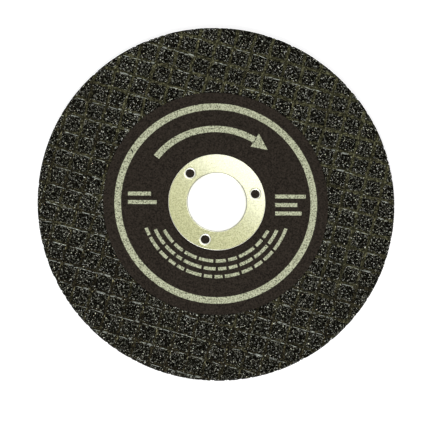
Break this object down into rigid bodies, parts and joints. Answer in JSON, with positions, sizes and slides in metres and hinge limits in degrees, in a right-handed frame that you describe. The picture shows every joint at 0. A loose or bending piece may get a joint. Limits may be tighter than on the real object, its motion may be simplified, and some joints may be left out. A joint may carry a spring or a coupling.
{
  "type": "cut-off wheel",
  "caption": "Thin bonded abrasive cut-off wheel with woven glass mesh on both faces, a round paper label and a pressed metal ring lining its bore.",
  "frame": {"origin": "on the bore's axis, in the plane of the back mesh's highest points, on which it lies", "axes": "+Z along the bore towards the label, +X to the right and +Y away from the viewer in the picture"},
  "size_m": [0.1, 0.1, 0.002],
  "materials": {
    "abrasive": "coarse dark abrasive grain in resin",
    "glass_mesh": "resin-soaked glass strands",
    "label_paper": "dark printed paper with a pale ring",
    "ring_metal": "bright tinned sheet"
  },
  "bodies": {
    "root": {"abrasive_disc": "abrasive", "front_mesh": "glass_mesh", "back_mesh": "glass_mesh", "paper_label": "label_paper", "bore_ring": "ring_metal"}
  },
  "joints": []
}
